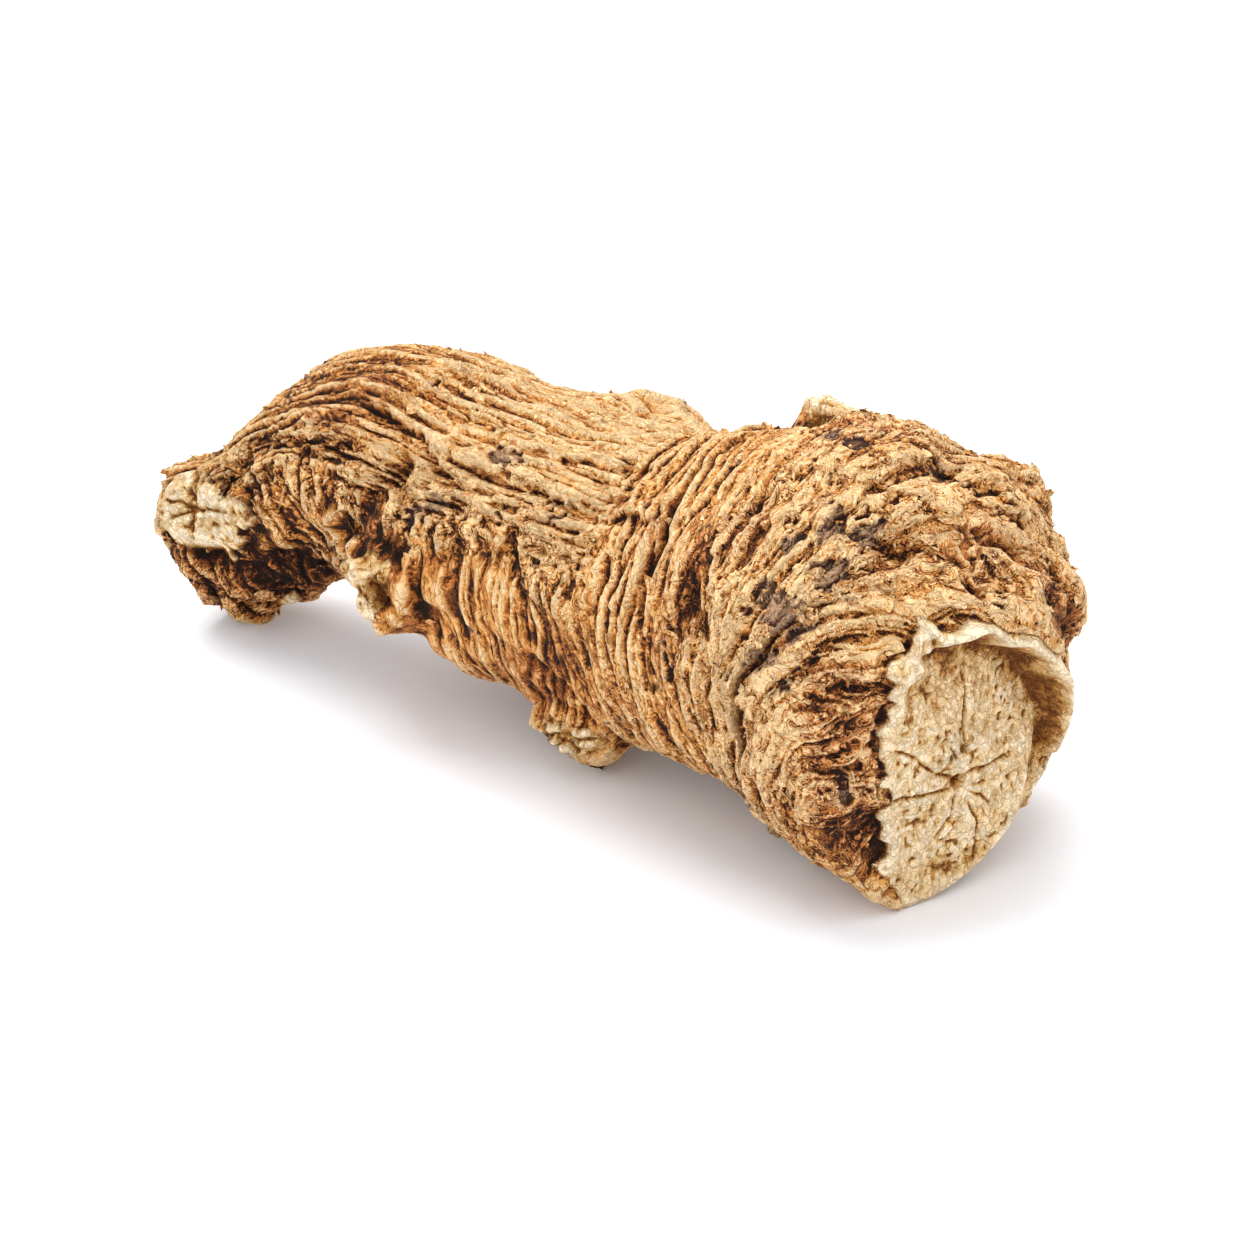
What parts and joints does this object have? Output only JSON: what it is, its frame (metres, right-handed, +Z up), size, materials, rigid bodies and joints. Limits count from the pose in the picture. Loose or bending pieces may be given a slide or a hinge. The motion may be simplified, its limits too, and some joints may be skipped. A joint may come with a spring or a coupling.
{
  "type": "peucedanum root",
  "caption": "Dried peucedanum root: a stout crown sawn across, a ringed waist, a forked lower body and the short sawn stubs of its rootlets.",
  "frame": {"origin": "middle of the bounding box in plan, on the ground the root lies on", "axes": "+X along the body towards the sawn crown, +Y towards the side away from the sawn stubs that show, +Z up"},
  "size_m": [0.063, 0.027, 0.0246],
  "materials": {
    "root": "dry flaky tan bark, matte, with paler sawn wood at the crown and the stubs"
  },
  "bodies": {
    "root": {"peucedanum_root": "root"}
  },
  "joints": []
}
